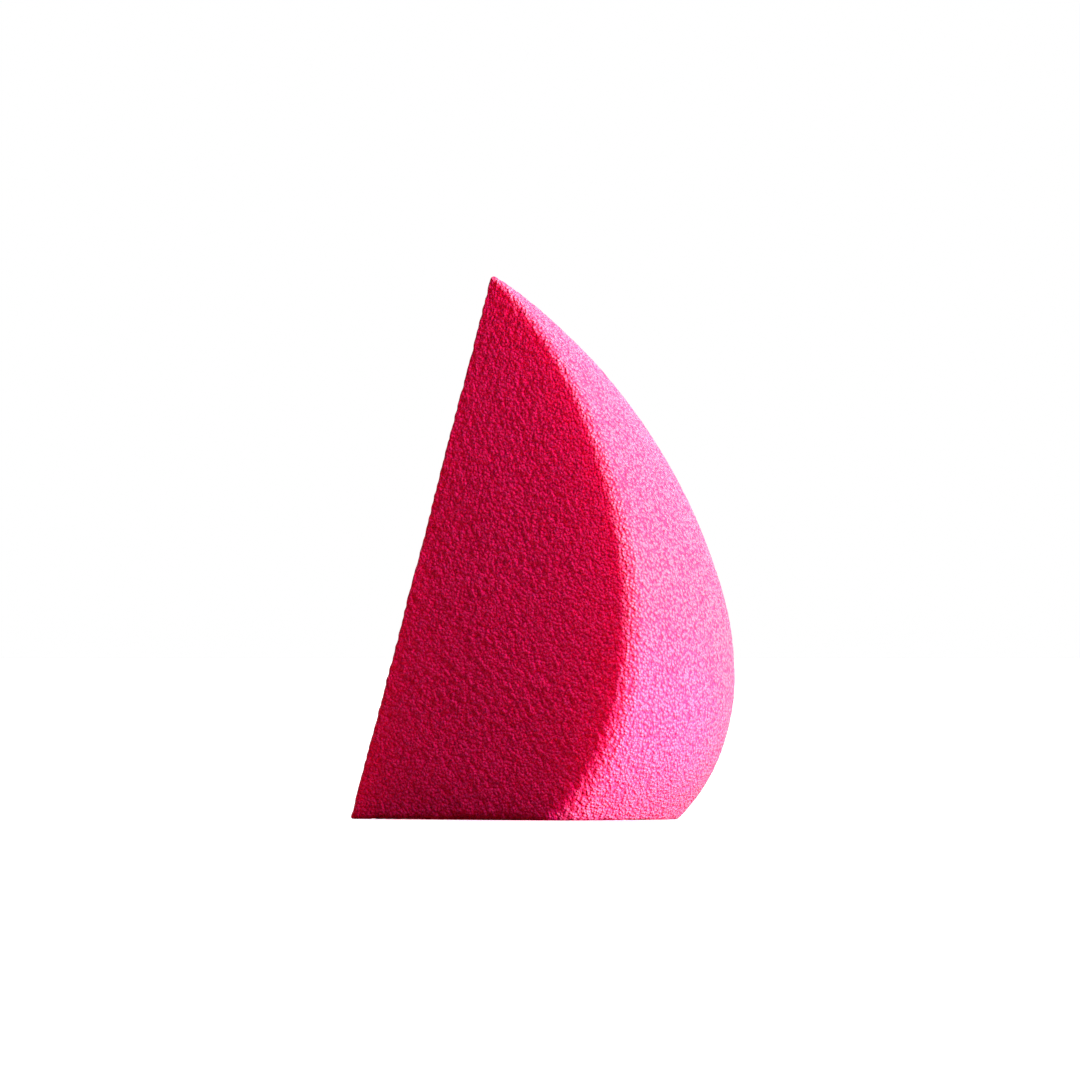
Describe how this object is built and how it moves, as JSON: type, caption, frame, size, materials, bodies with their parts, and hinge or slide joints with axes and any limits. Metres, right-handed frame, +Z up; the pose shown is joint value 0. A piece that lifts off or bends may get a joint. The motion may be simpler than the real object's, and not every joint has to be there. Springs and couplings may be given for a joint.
{
  "type": "makeup sponge",
  "caption": "Pointed cosmetic blending sponge with a flat base, a round back and two flat sides that meet in a straight edge, in napped pink foam.",
  "frame": {"origin": "on the flat base, under the axis of the round back", "axes": "+Z up from the base to the tip, -X towards the straight edge between the two flat sides, XZ is the mirror plane"},
  "size_m": [0.0423, 0.0452, 0.0599],
  "materials": {
    "foam": "soft open-cell foam, dyed pink through",
    "adhesive": "thin flexible coat",
    "flock": "matt microfibre nap with a fine grain and a pale rim"
  },
  "bodies": {
    "root": {"foam_core": "foam", "adhesive_coat": "adhesive", "flock_skin": "flock"}
  },
  "joints": []
}
